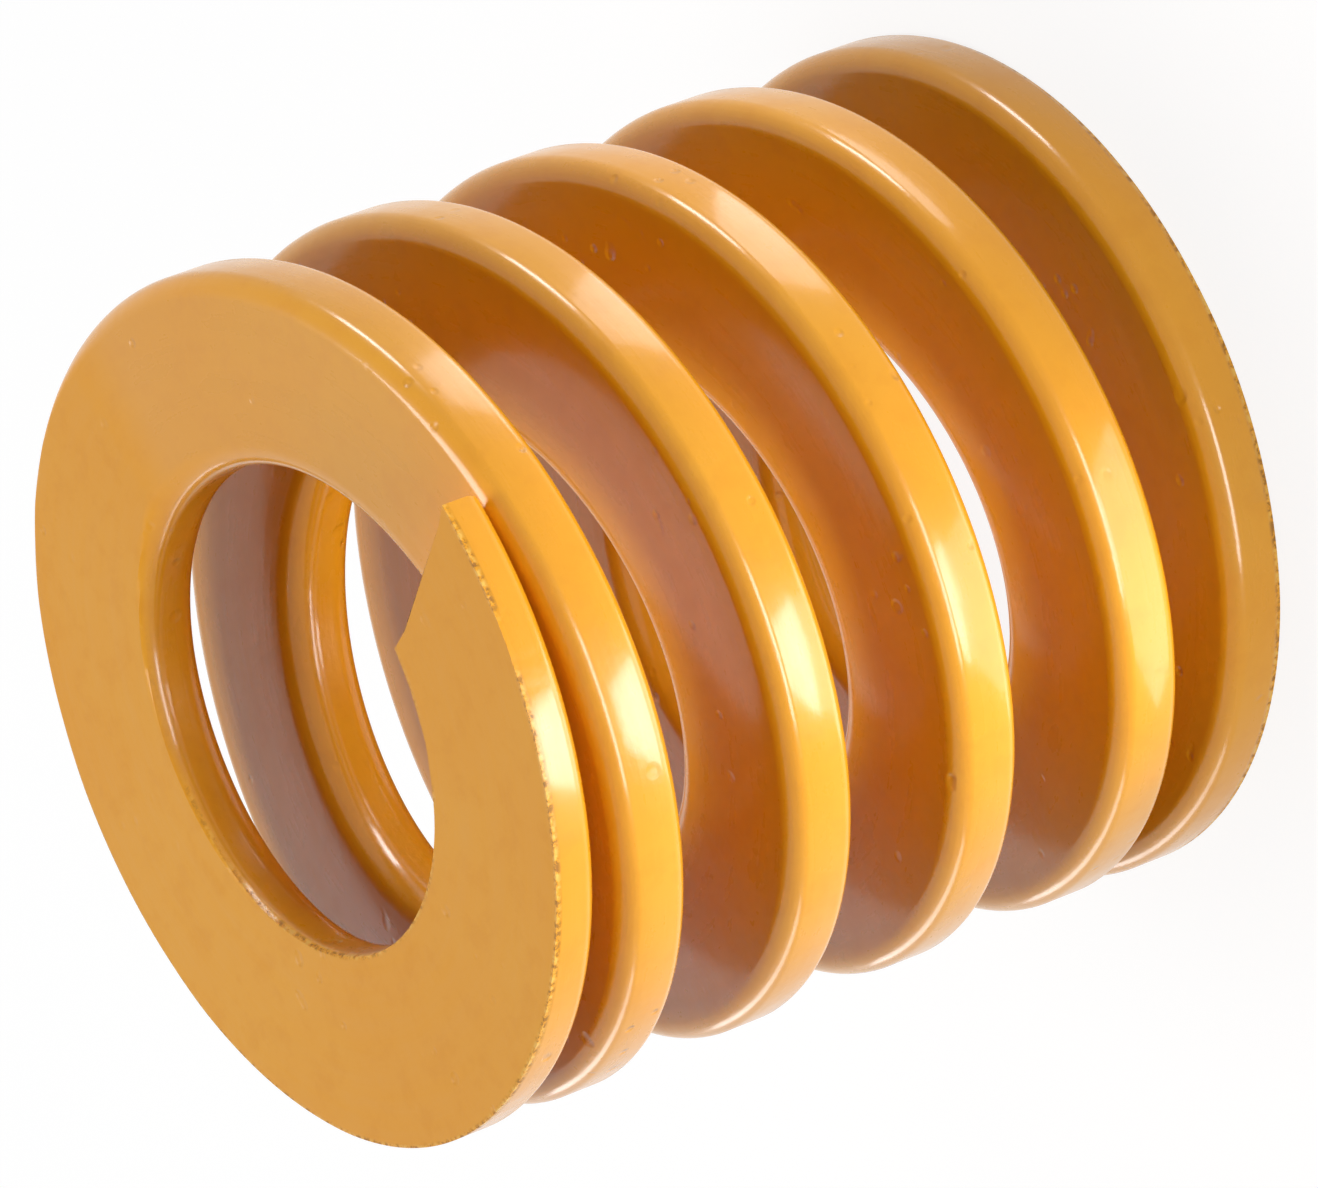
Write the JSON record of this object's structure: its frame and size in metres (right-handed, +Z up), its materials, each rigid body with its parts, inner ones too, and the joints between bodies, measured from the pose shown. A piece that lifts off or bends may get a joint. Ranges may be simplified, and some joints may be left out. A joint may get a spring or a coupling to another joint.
{
  "type": "die spring",
  "caption": "Compression spring coiled from thick flat wire, with closed and ground ends, painted yellow.",
  "frame": {"origin": "middle of the lower ground face, on the coil's axis", "axes": "+Z up along the coil's axis, from the lower ground face to the upper one; +X passes through the lower tip's outer corner"},
  "size_m": [0.05, 0.05, 0.05],
  "materials": {
    "yellow_enamel": "glossy yellow-orange enamel over steel, satin on the ground faces"
  },
  "bodies": {
    "root": {"die_spring": "yellow_enamel"}
  },
  "joints": []
}
